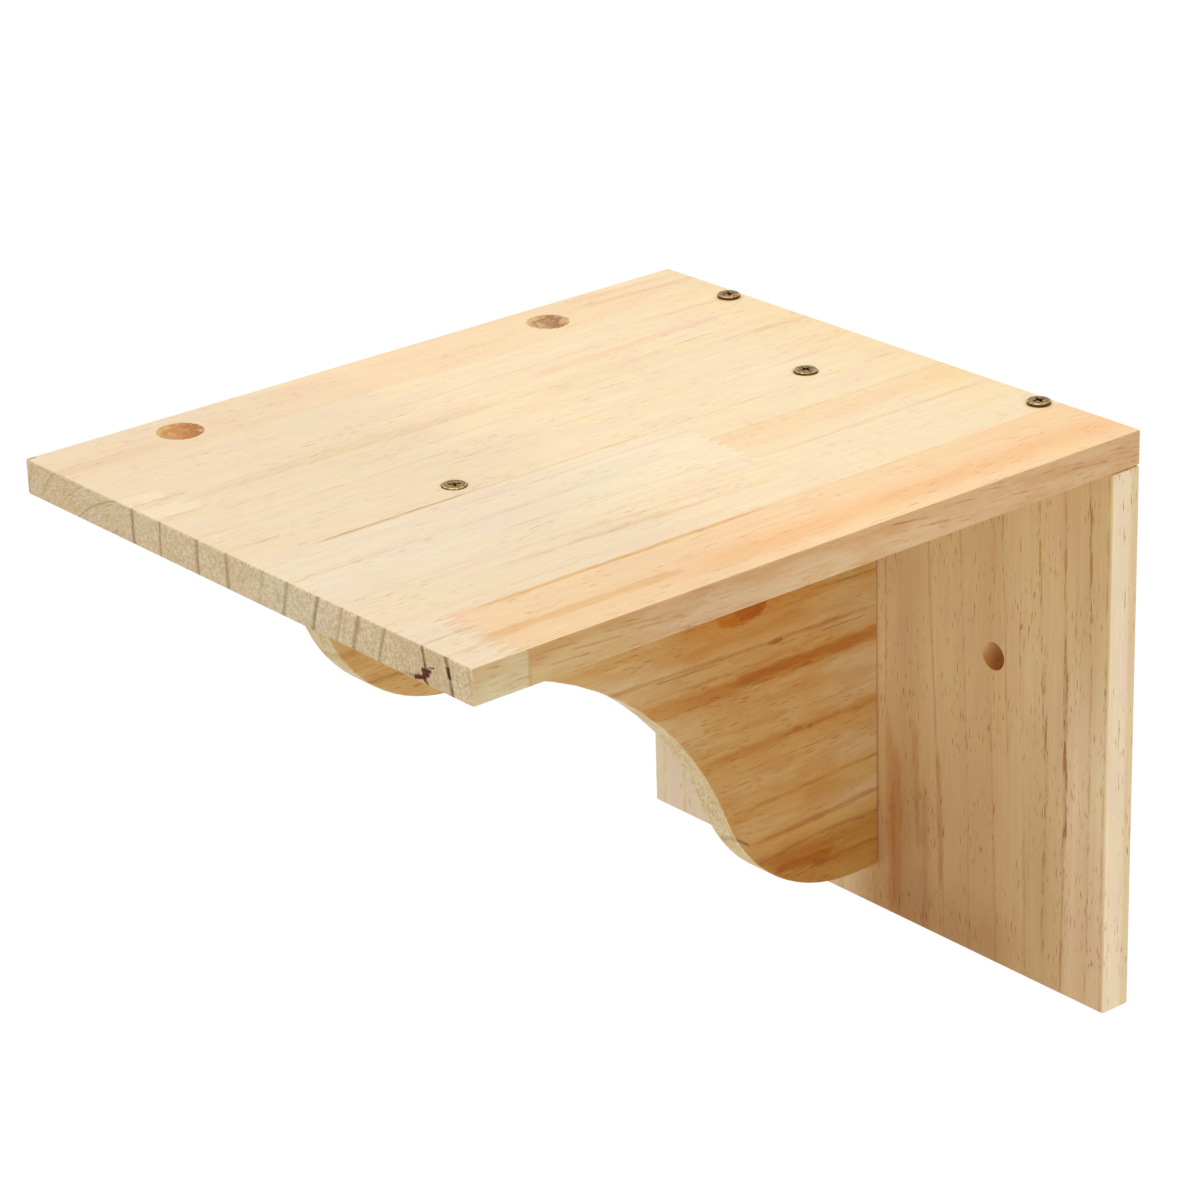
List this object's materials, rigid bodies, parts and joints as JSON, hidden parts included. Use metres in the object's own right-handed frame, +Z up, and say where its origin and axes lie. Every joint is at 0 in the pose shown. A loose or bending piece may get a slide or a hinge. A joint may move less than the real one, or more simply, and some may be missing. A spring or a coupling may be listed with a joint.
{
  "type": "wall-mounted cat step",
  "caption": "Square-edged pine deck on a wall plate, held by a corbel with an S-shaped edge and countersunk screws; a step for a cat on a wall.",
  "frame": {"origin": "on the wall plane, midway between the two wall holes", "axes": "+Y into the wall, +Z up, +X to the right for someone who faces the wall"},
  "size_m": [0.228, 0.27, 0.2066],
  "materials": {
    "deck_pine": "sanded, bare",
    "plate_pine": "sanded, bare",
    "corbel_pine": "sanded, bare",
    "deck_screw_bronze": "dark bronze plating",
    "back_screw_bronze": "dark bronze plating"
  },
  "bodies": {
    "root": {"deck_board": "deck_pine", "wall_plate": "plate_pine", "corbel_bracket": "corbel_pine", "plate_screw_left": "deck_screw_bronze", "plate_screw_right": "deck_screw_bronze", "corbel_screw_rear": "deck_screw_bronze", "corbel_screw_front": "deck_screw_bronze", "back_screw_upper": "back_screw_bronze", "back_screw_lower": "back_screw_bronze"}
  },
  "joints": []
}
